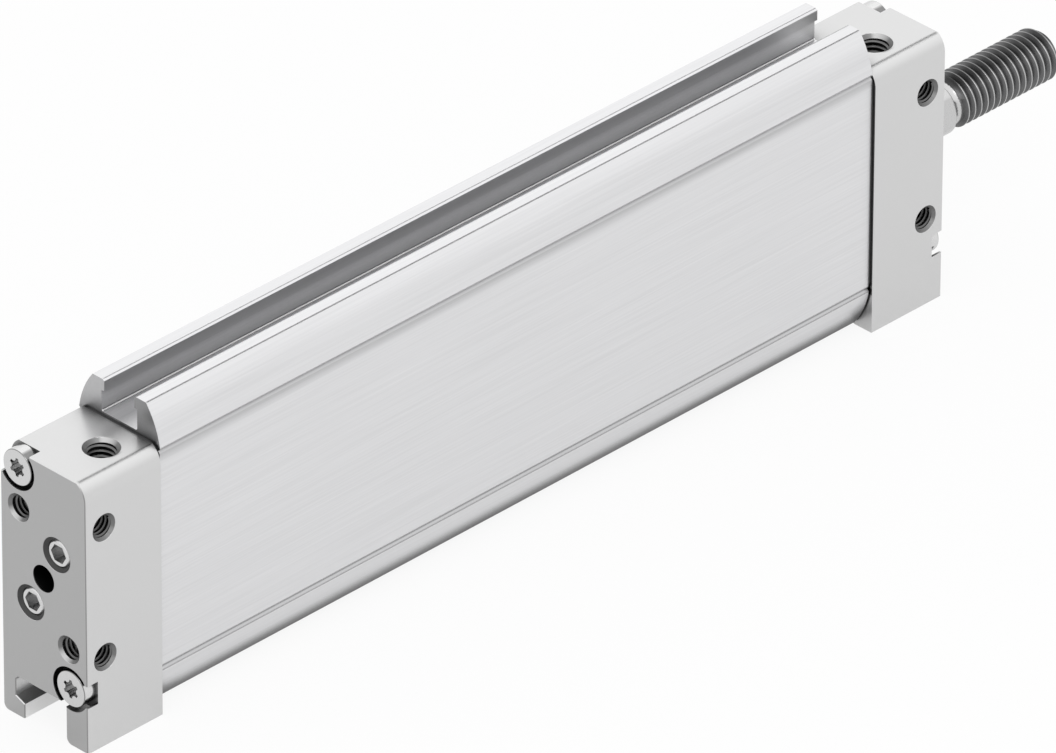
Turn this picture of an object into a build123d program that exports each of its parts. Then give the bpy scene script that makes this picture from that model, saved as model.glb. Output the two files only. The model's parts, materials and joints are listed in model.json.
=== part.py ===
from build123d import *
import os

os.makedirs("parts", exist_ok=True)

# A flat double-acting pneumatic cylinder, in millimetres. X runs from the rear face towards the
# rod, Z is up, and Y crosses the thin side. The origin is the mouth of the centring bore in the
# rear face, on the rod's axis. The rod is drawn in.

# Housing
stroke = 100.0
thickness = 16.0  # over the wide faces of the caps
cap_length = 13.75
cap_top = 17.8  # flat top of the caps, above the axis
cap_bottom = 23.9  # foot of the caps, below the axis
cap_corner_radius = 3.2
cap_corner_height = 15.1  # centre of the top corners, above the axis
foot_radius = 1.0  # far outer corner and near lip of the channel
edge_break = 0.12

# Barrel profile
barrel_recess = 0.45  # wide face of the barrel, behind the caps
barrel_wall = 2.05
bore_height = 25.5
rail_height = 23.35  # tops of the slot rails, from the axis
rail_inset = 0.35  # shoulder of a rail, behind the caps
rail_top_width = 5.03  # half width over the rail tops
rail_bulge_radius = 13.2
shoulder_height = 17.25
groove_depth = 0.41  # notch between the shoulder and the wide face
slot_mouth = 2.85  # half width
slot_undercut = 0.5  # each side
slot_lip = 1.8  # height of the slot's mouth, below the rail tops
slot_floor_height = 18.3
slot_floor_chamfer = 0.2
slot_edge_break = 0.25

# Channel in the foot of each cap, in line with the lower slot
channel_mouth = 3.95  # half width
channel_lip = 2.35  # height of the channel's mouth, above the foot
channel_undercut = 1.7  # far side only
channel_slant = 0.7
channel_roof_height = 17.8
channel_roof_radius = 0.7
channel_mouth_radius = 0.3  # far lip

# Cap screws
screw_edge = 3.15  # screw axis to the wide face of its cap
screw_height = 15.08  # screw axis to the rod's axis
screw_radius = 1.5
screw_length = 22.0
screw_head_radius = 2.65
screw_head_height = 1.95
screw_head_round = 0.15
screw_clearance = 0.2  # round the shank in the cap
screw_hole_spare = 1.0
counterbore_gap = 0.65  # round the head
counterbore_depth = 2.0
side_notch = 1.75  # half widths of the notches beside the heads
top_notch = 2.4
star_radius = 1.4  # six-lobe socket, over its lobes
star_valley = 1.0  # and to the bottoms of its valleys
star_round = 0.5
star_depth = 1.2

# Holes for mounting and air
mount_core_radius = 1.65  # M4 thread, at its core
mount_lead = 0.4  # chamfer at the mouth
end_mount_y = 4.6
end_mount_z = 9.0
end_mount_depth = 8.0
side_mount_x = 3.4  # from the end face of each cap
side_mount_z = 10.1
side_mount_depth = 4.5
port_core_radius = 2.1  # M5 thread, at its core
port_lead = 0.5
port_x = 8.35  # from the end face of each cap
port_y = -2.5
passage_radius = 1.25
passage_height = 8.8
plug_y = 2.52
plug_z = 4.84
plug_port_depth = 6.0
plug_length = 4.0
plug_sunk = 0.35
plug_socket = 2.5  # across flats
plug_edge = 0.3
centring_radius = 2.0
centring_depth = 5.0

# Joint between cap and barrel
gasket_thickness = 0.3
gasket_corner_radius = 2.2
spigot_depth = 4.0
spigot_clearance = 0.1
bumper_thickness = 2.0
bumper_inset = 0.4
bumper_hole_gap = 0.5  # round the rod and the air passages

# Rod, its bearing and its seals
rod_diameter = 8.0
rod_projection = 27.7  # rod end, from the front face
thread_length = 19.3
thread_chamfer = 0.8
neck_depth = 0.75
flat_width = 7.0  # across the wrench flats
flat_turn = 16.5  # degrees, near flat raised about the rod's axis
flat_start = 1.0  # from the front face
flat_end = 6.8
rod_gap = 0.3  # round the rod in the cap
bush_wall = 1.0
bush_length = 7.0
seal_wall = 2.0
seal_length = 3.0
wiper_length = 2.7
wiper_sunk = 0.5
wiper_lip = 0.4

# Piston
piston_half_length = 9.4
magnet_length = 3.0
magnet_inset = 0.9
piston_gap = 0.3  # round the piston in the bore
end_gap = 0.35  # piston to bumper at each end of the stroke
running_gap = 0.05  # seals, guide band and bush
seal_groove_depth = 1.5
seal_groove_width = 2.2
seal_land = 3.3
band_groove_depth = 0.9
band_width = 2.6
band_land = 0.6
stub_radius = 3.0
o_ring_width = 0.7
o_ring_thickness = 1.0
piston_screw_radius = 2.0
piston_screw_length = 9.0
piston_screw_head_radius = 3.5
piston_screw_head_height = 2.4
piston_screw_head_gap = 0.2
piston_screw_sunk = 0.4
piston_screw_socket = 3.0  # across flats
stub_gap = 0.3  # rod end to the screw's head
seat_gap = 0.02  # round pieces that sit in others

# Sizes that follow from these
half_thickness = thickness / 2
barrel_half_width = half_thickness - barrel_recess
shoulder_half_width = half_thickness - rail_inset
slot_lip_height = rail_height - slot_lip
channel_lip_height = cap_bottom - channel_lip
bore_width = 2 * (barrel_half_width - barrel_wall)
piston_length = 2 * piston_half_length + magnet_length
barrel_length = stroke + piston_length + 2 * (spigot_depth + bumper_thickness + end_gap)
barrel_start = cap_length + gasket_thickness
barrel_end = barrel_start + barrel_length
total_length = barrel_end + gasket_thickness + cap_length
screw_y = half_thickness - screw_edge
piston_start = barrel_start + spigot_depth + bumper_thickness + end_gap
magnet_start = piston_start + piston_half_length
front_half_start = magnet_start + magnet_length
piston_end = piston_start + piston_length
rod_radius = rod_diameter / 2
rod_end = total_length + rod_projection
thread_start = rod_end - thread_length
bush_radius = rod_radius + bush_wall
seal_radius = rod_radius + seal_wall
seal_seat_start = total_length - seal_length - wiper_length - wiper_sunk
bush_start = seal_seat_start - bush_length
piston_screw_seat = piston_start + piston_screw_sunk + piston_screw_head_height
ENDS = {"rear": (0.0, 1), "front": (total_length, -1)}  # outer face, and the way into the barrel
PLACES = {"upper": 1, "lower": -1}


def save(builder, name):
    """Label a finished piece and write it to its own file."""
    builder.part.label = name
    export_step(builder.part, f"parts/{name}.step")


def bore_out(mouth, radius, depth, lead=0.0, tip=0.0):
    """Cut a round hole. The plane lies at its mouth and faces out of it."""
    edge = [(radius + lead, 0), (radius, lead)] if lead else [(radius, 0)]
    with BuildSketch(Plane(mouth.origin, x_dir=mouth.x_dir, z_dir=mouth.y_dir)) as half:
        with BuildLine():
            Polyline((0, 0), *edge, (radius, depth), (0, depth + tip), close=True)
        make_face()
    revolve(half.sketch, axis=Axis(mouth.origin, mouth.z_dir), mode=Mode.SUBTRACT)


def oval(inset, mode=Mode.ADD):
    """Sketch the bore's round-ended shape, drawn in all round by inset."""
    SlotOverall(bore_height - 2 * inset, bore_width - 2 * inset, rotation=90, mode=mode)


def star():
    """Sketch the six-lobe socket of a cap screw."""
    Circle(star_radius)
    with PolarLocations(star_valley + star_round, 6):
        Circle(star_round, mode=Mode.SUBTRACT)


# A cap seen along X: a rounded bar milled flat on top, with the channel in its foot
with BuildSketch() as cap_section:
    bar_top = cap_corner_height + cap_corner_radius
    with Locations((0, (bar_top - cap_bottom) / 2)):
        Rectangle(thickness, bar_top + cap_bottom)
    fillet(cap_section.vertices().group_by(Axis.Y)[-1], cap_corner_radius)
    fillet(cap_section.vertices().group_by(Axis.Y)[0].sort_by(Axis.X)[-1], foot_radius)
    with Locations((0, cap_top)):
        Rectangle(thickness, bar_top, align=(Align.CENTER, Align.MIN), mode=Mode.SUBTRACT)
    with BuildLine():
        Polyline(
            (-channel_mouth, -cap_bottom),
            (channel_mouth, -cap_bottom),
            (channel_mouth, -channel_lip_height),
            (channel_mouth + channel_undercut, channel_slant - channel_lip_height),
            (channel_mouth + channel_undercut, -channel_roof_height),
            (-channel_mouth, -channel_roof_height),
            close=True,
        )
    make_face(mode=Mode.SUBTRACT)
    near_lip = (-channel_mouth, -cap_bottom, 0)
    fillet(cap_section.vertices().sort_by_distance(near_lip)[0], foot_radius)
    far_lip = (channel_mouth, -cap_bottom, 0)
    fillet(cap_section.vertices().sort_by_distance(far_lip)[0], channel_mouth_radius)
    roof = cap_section.vertices().filter_by(lambda v: abs(v.Y + channel_roof_height) < edge_break)
    fillet(roof, channel_roof_radius)


def cap_body(cap, outer, inward):
    """Build what both caps share. inward is the way from the outer face into the barrel."""
    inner = outer + inward * cap_length
    spigot_end = inner + inward * (gasket_thickness + spigot_depth)
    with BuildSketch(Plane.YZ.offset(outer)) as section:
        add(cap_section.sketch)
    extrude(section.sketch, amount=inward * cap_length)
    end_face = cap.faces().sort_by(Axis.X)[0 if inward > 0 else -1]
    chamfer(end_face.edges(), edge_break)
    with BuildSketch(Plane.YZ.offset(inner)) as spigot:
        oval(spigot_clearance)
    extrude(spigot.sketch, amount=spigot_end - inner)

    # Seats of the two screws, open to the sides so that their heads show there
    with BuildSketch(Plane.YZ.offset(outer)) as seats:
        for way in PLACES.values():
            with Locations((way * screw_y, way * screw_height)):
                Circle(screw_head_radius + counterbore_gap)
                side = Align.MIN if way > 0 else Align.MAX
                Rectangle(thickness, 2 * side_notch, align=(side, Align.CENTER))
        with Locations((screw_y, screw_height)):
            Rectangle(2 * top_notch, cap_top, align=(Align.CENTER, Align.MIN))
    extrude(seats.sketch, amount=inward * counterbore_depth, mode=Mode.SUBTRACT)
    with BuildSketch(Plane.YZ.offset(outer)) as shanks:
        with Locations((screw_y, screw_height), (-screw_y, -screw_height)):
            Circle(screw_radius + screw_clearance)
    extrude(shanks.sketch, amount=inward * cap_length, mode=Mode.SUBTRACT)

    # Threaded holes in the end face and in the near wide face
    for way in PLACES.values():
        mouth = Plane((outer, way * end_mount_y, way * end_mount_z), z_dir=(-inward, 0, 0))
        bore_out(mouth, mount_core_radius, end_mount_depth, mount_lead, mount_core_radius / 2)
        place = (outer + inward * side_mount_x, -half_thickness, way * side_mount_z)
        mouth = Plane(place, z_dir=(0, -1, 0))
        bore_out(mouth, mount_core_radius, side_mount_depth, mount_lead, mount_core_radius / 2)

    # Air port in the top face, and its passage to the bore
    mouth = Plane((outer + inward * port_x, port_y, cap_top), z_dir=(0, 0, 1))
    bore_out(mouth, port_core_radius, cap_top - passage_height + passage_radius, port_lead)
    mouth = Plane((spigot_end, port_y, passage_height), z_dir=(inward, 0, 0))
    bore_out(mouth, passage_radius, abs(spigot_end - outer) - port_x)


# Rear cap, with two more air ports in its end face and the centring bore
with BuildPart() as rear_cap:
    cap_body(rear_cap, *ENDS["rear"])
    for way in PLACES.values():
        mouth = Plane((0, -way * plug_y, way * plug_z), z_dir=(-1, 0, 0))
        bore_out(mouth, port_core_radius, plug_port_depth, port_lead)
        mouth = Plane((barrel_start + spigot_depth, -way * plug_y, way * plug_z), z_dir=(1, 0, 0))
        bore_out(mouth, passage_radius, barrel_start + spigot_depth - plug_port_depth)
    bore_out(Plane((0, 0, 0), z_dir=(-1, 0, 0)), centring_radius, centring_depth)
save(rear_cap, "rear_cap")

# Front cap, bored for the rod, its bush and its seals
with BuildPart() as front_cap:
    cap_body(front_cap, *ENDS["front"])
    mouth = Plane((total_length, 0, 0), z_dir=(1, 0, 0))
    bore_out(mouth, seal_radius + seat_gap, total_length - seal_seat_start, edge_break)
    bore_out(mouth, bush_radius + seat_gap, total_length - bush_start)
    bore_out(mouth, rod_radius + rod_gap, total_length - barrel_end + spigot_depth)
save(front_cap, "front_cap")

# Barrel: one extruded length with the bore and a slotted rail on each narrow side
with BuildPart() as barrel:
    with BuildSketch(Plane.YZ.offset(barrel_start)):
        with BuildLine():
            corner = (rail_top_width, rail_height)
            shoulder = (shoulder_half_width, shoulder_height)
            notch = (shoulder_half_width - groove_depth, shoulder_height - groove_depth)
            Polyline(
                (0, 0),
                (0, slot_floor_height),
                (slot_mouth + slot_undercut - slot_floor_chamfer, slot_floor_height),
                (slot_mouth + slot_undercut, slot_floor_height + slot_floor_chamfer),
                (slot_mouth + slot_undercut, slot_lip_height),
                (slot_mouth, slot_lip_height),
                (slot_mouth, rail_height - slot_edge_break),
                (slot_mouth + slot_edge_break, rail_height),
                corner,
            )
            RadiusArc(corner, shoulder, rail_bulge_radius)
            Polyline(
                shoulder,
                notch,
                (barrel_half_width, notch[1] + notch[0] - barrel_half_width),
                (barrel_half_width, 0),
                (0, 0),
            )
        make_face()
        mirror(about=Plane.YZ)
        mirror(about=Plane.XZ)
        oval(0, mode=Mode.SUBTRACT)
    extrude(amount=barrel_length)
    for start, inward in ((barrel_start, 1), (barrel_end, -1)):
        with BuildSketch(Plane.YZ.offset(start)):
            with Locations((screw_y, screw_height), (-screw_y, -screw_height)):
                Circle(screw_radius + seat_gap)
        hole_depth = counterbore_depth + screw_length + screw_hole_spare - barrel_start
        extrude(amount=inward * hole_depth, mode=Mode.SUBTRACT)
save(barrel, "barrel")

# Gaskets between the caps and the barrel, and the bumpers that stop the piston softly
for end, (outer, inward) in ENDS.items():
    inner = outer + inward * cap_length
    with BuildPart() as gasket:
        with BuildSketch(Plane.YZ.offset(inner)):
            RectangleRounded(2 * barrel_half_width, 2 * cap_top, gasket_corner_radius)
            oval(0, mode=Mode.SUBTRACT)
            with Locations((screw_y, screw_height), (-screw_y, -screw_height)):
                Circle(screw_radius + screw_clearance, mode=Mode.SUBTRACT)
        extrude(amount=inward * gasket_thickness)
    save(gasket, f"{end}_gasket")

    with BuildPart() as bumper:
        with BuildSketch(Plane.YZ.offset(inner + inward * (gasket_thickness + spigot_depth))):
            oval(bumper_inset)
            with Locations((port_y, passage_height)):
                Circle(passage_radius + bumper_hole_gap, mode=Mode.SUBTRACT)
            if end == "front":
                Circle(rod_radius + bumper_hole_gap, mode=Mode.SUBTRACT)
            else:
                with Locations((-plug_y, plug_z), (plug_y, -plug_z)):
                    Circle(passage_radius + bumper_hole_gap, mode=Mode.SUBTRACT)
        extrude(amount=inward * bumper_thickness)
    save(bumper, f"{end}_bumper")

# Cap screws, one of each end's pair above the axis and one below it
for end, (outer, inward) in ENDS.items():
    for place, way in PLACES.items():
        axis_point = (way * screw_y, way * screw_height)
        seat = outer + inward * counterbore_depth
        head_top = seat - inward * screw_head_height
        with BuildPart() as cap_screw:
            with BuildSketch(Plane.YZ.offset(head_top)):
                with Locations(axis_point):
                    Circle(screw_head_radius)
            extrude(amount=inward * screw_head_height)
            head_face = cap_screw.faces().sort_by(Axis.X)[0 if inward > 0 else -1]
            fillet(head_face.edges(), screw_head_round)
            with BuildSketch(Plane.YZ.offset(seat)):
                with Locations(axis_point):
                    Circle(screw_radius)
            extrude(amount=inward * screw_length)
            with BuildSketch(Plane.YZ.offset(head_top)):
                with Locations(axis_point):
                    star()
            extrude(amount=inward * star_depth, mode=Mode.SUBTRACT)
        save(cap_screw, f"{end}_screw_{place}")

# Grub screws that plug the two air ports in the rear face
for place, way in PLACES.items():
    with BuildPart() as plug:
        with BuildSketch(Plane.YZ.offset(plug_sunk)):
            with Locations((-way * plug_y, way * plug_z)):
                Circle(port_core_radius - seat_gap)
        extrude(amount=plug_length)
        chamfer(plug.faces().sort_by(Axis.X)[0].edges(), plug_edge)
        with BuildSketch(Plane.YZ.offset(plug_sunk)):
            with Locations((-way * plug_y, way * plug_z)):
                RegularPolygon(plug_socket / 2, 6, major_radius=False)
        extrude(amount=plug_socket, mode=Mode.SUBTRACT)
    save(plug, f"rear_plug_{place}")

# Piston rod: a stub for the piston, the polished rod, wrench flats, a neck and the screw thread
with BuildPart() as piston_rod:
    stub_start = piston_screw_seat + stub_gap
    flats_end = total_length + flat_end
    neck_radius = rod_radius - neck_depth
    with BuildSketch(Plane.XZ):
        with BuildLine():
            Polyline(
                (stub_start, 0),
                (stub_start, stub_radius),
                (piston_end, stub_radius),
                (piston_end, rod_radius),
                (flats_end, rod_radius),
                (flats_end + neck_depth, neck_radius),
                (thread_start, neck_radius),
                (thread_start + neck_depth, rod_radius),
                (rod_end - thread_chamfer, rod_radius),
                (rod_end, rod_radius - thread_chamfer),
                (rod_end, 0),
                (stub_start, 0),
            )
        make_face()
    revolve(axis=Axis.X)
    with BuildSketch(Plane.YZ.offset(total_length + flat_start)):
        with PolarLocations(flat_width / 2, 2, start_angle=-flat_turn):
            Rectangle(rod_diameter, 2 * rod_diameter, align=(Align.MIN, Align.CENTER))
    extrude(amount=flat_end + neck_depth - flat_start, mode=Mode.SUBTRACT)
    stub_mouth = Plane((stub_start, 0, 0), z_dir=(-1, 0, 0))
    bore_out(stub_mouth, piston_screw_radius + seat_gap, piston_screw_length, 0, piston_screw_radius)
save(piston_rod, "piston_rod")

# Bush, pressure seal and wiper ring round the rod
for name, start, length, radius in (
    ("rod_bush", bush_start, bush_length, bush_radius),
    ("rod_seal", seal_seat_start, seal_length, seal_radius),
):
    with BuildPart() as rod_ring:
        with BuildSketch(Plane.YZ.offset(start)):
            Circle(radius)
            Circle(rod_radius + running_gap, mode=Mode.SUBTRACT)
        extrude(amount=length)
    save(rod_ring, name)
with BuildPart() as wiper_ring:
    wiper_start = seal_seat_start + seal_length
    wiper_end = wiper_start + wiper_length
    wiper_radius = rod_radius + running_gap
    with BuildSketch(Plane.XZ):
        with BuildLine():
            Polyline(
                (wiper_start, wiper_radius),
                (wiper_start, seal_radius),
                (wiper_end, seal_radius),
                (wiper_end, wiper_radius + 2 * wiper_lip),
                (wiper_end + wiper_lip, wiper_radius + wiper_lip),
                (wiper_end + wiper_lip, wiper_radius),
                (wiper_start, wiper_radius),
            )
        make_face()
    revolve(axis=Axis.X)
save(wiper_ring, "wiper_ring")

# Piston: two halves clamp the magnet on the rod's stub, each with a groove for its lip seal
groove_floor = piston_gap + seal_groove_depth
band_floor = piston_gap + band_groove_depth
rear_groove_start = piston_start + seal_land
front_groove_start = piston_end - seal_land - seal_groove_width
with BuildPart() as piston_rear_half:
    with BuildSketch(Plane.YZ.offset(piston_start)):
        oval(piston_gap)
        Circle(stub_radius + seat_gap, mode=Mode.SUBTRACT)
    extrude(amount=piston_half_length)
    with BuildSketch(Plane.YZ.offset(rear_groove_start)):
        oval(0)
        oval(groove_floor, mode=Mode.SUBTRACT)
    extrude(amount=seal_groove_width, mode=Mode.SUBTRACT)
    with BuildSketch(Plane.YZ.offset(piston_start)):
        Circle(piston_screw_head_radius + piston_screw_head_gap)
    extrude(amount=piston_screw_seat - piston_start, mode=Mode.SUBTRACT)
save(piston_rear_half, "piston_rear_half")
with BuildPart() as piston_front_half:
    with BuildSketch(Plane.YZ.offset(front_half_start)):
        oval(piston_gap)
        Circle(stub_radius + seat_gap, mode=Mode.SUBTRACT)
    extrude(amount=piston_half_length)
    with BuildSketch(Plane.YZ.offset(front_groove_start)):
        oval(0)
        oval(groove_floor, mode=Mode.SUBTRACT)
    extrude(amount=seal_groove_width, mode=Mode.SUBTRACT)
    with BuildSketch(Plane.YZ.offset(front_half_start + band_land)):
        oval(0)
        oval(band_floor, mode=Mode.SUBTRACT)
    extrude(amount=band_width, mode=Mode.SUBTRACT)
    with BuildSketch(Plane.YZ.offset(piston_end)):
        Circle(stub_radius + o_ring_width + seat_gap)
    extrude(amount=-o_ring_thickness, mode=Mode.SUBTRACT)
save(piston_front_half, "piston_front_half")

# Lip seals and guide band in their grooves
for name, start, width, floor in (
    ("piston_seal_rear", rear_groove_start, seal_groove_width, groove_floor),
    ("piston_seal_front", front_groove_start, seal_groove_width, groove_floor),
    ("piston_guide_band", front_half_start + band_land, band_width, band_floor),
):
    with BuildPart() as piston_ring:
        with BuildSketch(Plane.YZ.offset(start + seat_gap)):
            oval(running_gap)
            oval(floor - seat_gap, mode=Mode.SUBTRACT)
        extrude(amount=width - 2 * seat_gap)
    save(piston_ring, name)

# Magnet between the halves, O-ring under the rod's shoulder, and the screw that clamps them
with BuildPart() as piston_magnet:
    with BuildSketch(Plane.YZ.offset(magnet_start)):
        oval(piston_gap + magnet_inset)
        Circle(stub_radius + seat_gap, mode=Mode.SUBTRACT)
    extrude(amount=magnet_length)
save(piston_magnet, "piston_magnet")
with BuildPart() as piston_o_ring:
    with BuildSketch(Plane.YZ.offset(piston_end - o_ring_thickness)):
        Circle(stub_radius + o_ring_width)
        Circle(stub_radius + seat_gap, mode=Mode.SUBTRACT)
    extrude(amount=o_ring_thickness)
save(piston_o_ring, "piston_o_ring")
with BuildPart() as piston_screw:
    with BuildSketch(Plane.YZ.offset(piston_screw_seat)):
        Circle(piston_screw_head_radius)
    extrude(amount=-piston_screw_head_height)
    with BuildSketch(Plane.YZ.offset(piston_screw_seat)):
        Circle(piston_screw_radius)
    extrude(amount=piston_screw_length)
    with BuildSketch(Plane.YZ.offset(piston_screw_seat - piston_screw_head_height)):
        RegularPolygon(piston_screw_socket / 2, 6, major_radius=False)
    extrude(amount=piston_screw_head_height / 2, mode=Mode.SUBTRACT)
save(piston_screw, "piston_screw")
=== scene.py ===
# %% [markdown]
# # A flat pneumatic cylinder, dressed in Blender
#
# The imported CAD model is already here, as a fixed frame: an aluminium barrel between two caps, and
# a steel rod that slides out of the front cap. These cells give every part its finish and add what
# the solids leave plain, such as the screw threads. All lengths below are in millimetres, and one
# helper turns them into Blender's metres.

import json
import math

import bmesh
import bpy
from mathutils import Matrix, Vector


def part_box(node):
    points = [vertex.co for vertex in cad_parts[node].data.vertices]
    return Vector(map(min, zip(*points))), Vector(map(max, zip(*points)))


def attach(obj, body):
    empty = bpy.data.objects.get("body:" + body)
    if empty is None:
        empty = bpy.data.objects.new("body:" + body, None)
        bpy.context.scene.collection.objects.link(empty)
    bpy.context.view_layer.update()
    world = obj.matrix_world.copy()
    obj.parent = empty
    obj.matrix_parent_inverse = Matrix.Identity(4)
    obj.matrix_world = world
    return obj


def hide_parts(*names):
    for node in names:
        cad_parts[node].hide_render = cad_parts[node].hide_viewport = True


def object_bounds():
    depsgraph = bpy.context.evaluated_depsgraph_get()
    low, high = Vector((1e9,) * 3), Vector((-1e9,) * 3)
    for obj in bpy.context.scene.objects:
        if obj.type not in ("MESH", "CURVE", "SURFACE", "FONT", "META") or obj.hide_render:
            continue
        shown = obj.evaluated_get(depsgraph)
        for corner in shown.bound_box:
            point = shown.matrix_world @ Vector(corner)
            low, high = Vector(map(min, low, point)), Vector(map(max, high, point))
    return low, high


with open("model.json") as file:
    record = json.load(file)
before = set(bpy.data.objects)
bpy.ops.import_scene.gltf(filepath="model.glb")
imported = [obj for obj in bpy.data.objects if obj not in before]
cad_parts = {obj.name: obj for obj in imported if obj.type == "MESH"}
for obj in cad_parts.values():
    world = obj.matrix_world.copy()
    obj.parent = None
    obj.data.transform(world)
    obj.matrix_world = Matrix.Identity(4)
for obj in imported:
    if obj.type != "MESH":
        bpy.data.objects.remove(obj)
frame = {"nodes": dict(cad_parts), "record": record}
cad_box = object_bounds()
nodes = frame["nodes"]
MM = 0.001
print("size in mm:", [round(1000 * (high - low), 2) for low, high in zip(*cad_box)])

# %% [markdown]
# ## The camera
#
# The photograph was taken from far away with a long lens, so the edges hardly converge. A long
# lens far off looks the same here. The three angles say where the camera stands, and a rotation
# matrix made of its right, up and backward directions turns it.

# %% Place the camera
CAMERA_AZIMUTH = math.radians(-45.278)
CAMERA_ELEVATION = math.radians(32.143)
CAMERA_ROLL = math.radians(0.2694)
CAMERA_PLACE = Vector((-1292.103, -1368.894, 1213.824)) * MM
CAMERA_LENS = 581.64

backward = Vector(
    (
        math.sin(CAMERA_AZIMUTH) * math.cos(CAMERA_ELEVATION),
        -math.cos(CAMERA_AZIMUTH) * math.cos(CAMERA_ELEVATION),
        math.sin(CAMERA_ELEVATION),
    )
)
level_right = Vector((math.cos(CAMERA_AZIMUTH), math.sin(CAMERA_AZIMUTH), 0))
level_up = backward.cross(level_right)
right = math.cos(CAMERA_ROLL) * level_right + math.sin(CAMERA_ROLL) * level_up
up = math.cos(CAMERA_ROLL) * level_up - math.sin(CAMERA_ROLL) * level_right

camera = bpy.data.objects.new("camera", bpy.data.cameras.new("camera"))
camera.data.sensor_fit = "HORIZONTAL"
camera.data.sensor_width = 36
camera.data.lens = CAMERA_LENS
camera.data.clip_end = 20
turn = Matrix((right, up, backward)).transposed().to_4x4()
camera.matrix_world = Matrix.Translation(CAMERA_PLACE) @ turn
bpy.context.scene.collection.objects.link(camera)
bpy.context.scene.camera = camera
print("camera stands at", [round(c, 3) for c in CAMERA_PLACE], "metres")

# %% [markdown]
# ## Small helpers for materials
#
# A material is a small net of nodes. These helpers make a material, add a node with its values,
# and make a node group with named sockets, so that the later cells read as short recipes.

# %% Helpers for node nets
def new_material(name):
    """Make a material and hand it back with its node tree and its Principled shader."""
    material = bpy.data.materials.new(name)
    material.use_nodes = True
    shader = material.node_tree.nodes["Principled BSDF"]
    return material, material.node_tree, shader


def add_node(tree, kind, values=None, **settings):
    """Add a node, set its options, and set its inputs by name or number."""
    node = tree.nodes.new(kind)
    for key, value in settings.items():
        setattr(node, key, value)
    for key, value in (values or {}).items():
        node.inputs[key].default_value = value
    return node


def new_group(name, inputs, outputs):
    """Make a node group. inputs and outputs are lists of (name, socket kind, default value)."""
    tree = bpy.data.node_groups.new(name, "ShaderNodeTree")
    for direction, sockets in (("INPUT", inputs), ("OUTPUT", outputs)):
        for label, kind, default in sockets:
            socket = tree.interface.new_socket(label, in_out=direction, socket_type=kind)
            socket.default_value = default
    return tree, tree.nodes.new("NodeGroupInput"), tree.nodes.new("NodeGroupOutput")


def use_group(tree, group, values=None):
    """Place a node group in a material with its own values."""
    node = tree.nodes.new("ShaderNodeGroup")
    node.node_tree = group
    for key, value in (values or {}).items():
        node.inputs[key].default_value = value
    return node


FLOAT = "NodeSocketFloat"
COLOUR = "NodeSocketColor"
VECTOR = "NodeSocketVector"

# %% [markdown]
# ## Streaks from drawing and machining
#
# Drawn aluminium shows fine lines along its length, from the die. A noise that is stretched a
# hundred times along one axis gives such lines. The group reads Object coordinates, which are the
# same metres as the model, so that the lines stay fixed on the metal. It puts out a value round
# zero, which each material turns into a little colour, roughness and height.

# %% Build the streak group
streaks, group_in, group_out = new_group(
    "streaks",
    [("Along", VECTOR, (1, 1, 1)), ("Detail", FLOAT, 3.0)],
    [("Streak", FLOAT, 0.0)],
)
place = add_node(streaks, "ShaderNodeTexCoord")
stretch = add_node(streaks, "ShaderNodeVectorMath", operation="MULTIPLY")
noise = add_node(streaks, "ShaderNodeTexNoise", {"Scale": 1.0, "Roughness": 0.6})
centred = add_node(streaks, "ShaderNodeMath", {1: 0.5}, operation="SUBTRACT")
streaks.links.new(place.outputs["Object"], stretch.inputs[0])
streaks.links.new(group_in.outputs["Along"], stretch.inputs[1])
streaks.links.new(stretch.outputs[0], noise.inputs["Vector"])
streaks.links.new(group_in.outputs["Detail"], noise.inputs["Detail"])
streaks.links.new(noise.outputs["Fac"], centred.inputs[0])
streaks.links.new(centred.outputs[0], group_out.inputs["Streak"])
print("group", streaks.name, "is ready")

# %% [markdown]
# ## Painted shade in corners
#
# Light hardly reaches into slots, bolt seats and drilled holes, so they are painted darker.
# Ambient occlusion measures how closed in a point is. The group turns that into an openness from
# near 0, deep in a hole, to 1, out in the open, and each metal multiplies its colour by it: painted shade.

# %% Build the group for painted shade in corners
corners, group_in, group_out = new_group(
    "painted_corner_shade",
    [("Reach", FLOAT, 0.003), ("Darkest", FLOAT, 0.1), ("Closed", FLOAT, 0.4), ("Open", FLOAT, 0.95)],
    [("Openness", FLOAT, 1.0)],
)
# Painted shade: ambient occlusion darkens the colour in corners, slots and holes.
closeness = add_node(corners, "ShaderNodeAmbientOcclusion", samples=8)
spread = add_node(corners, "ShaderNodeMapRange", {"To Max": 1.0}, interpolation_type="SMOOTHSTEP")
corners.links.new(group_in.outputs["Reach"], closeness.inputs["Distance"])
corners.links.new(closeness.outputs["AO"], spread.inputs["Value"])
corners.links.new(group_in.outputs["Closed"], spread.inputs["From Min"])
corners.links.new(group_in.outputs["Open"], spread.inputs["From Max"])
corners.links.new(group_in.outputs["Darkest"], spread.inputs["To Min"])
corners.links.new(spread.outputs["Result"], group_out.inputs["Openness"])
print("group", corners.name, "is ready")
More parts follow.
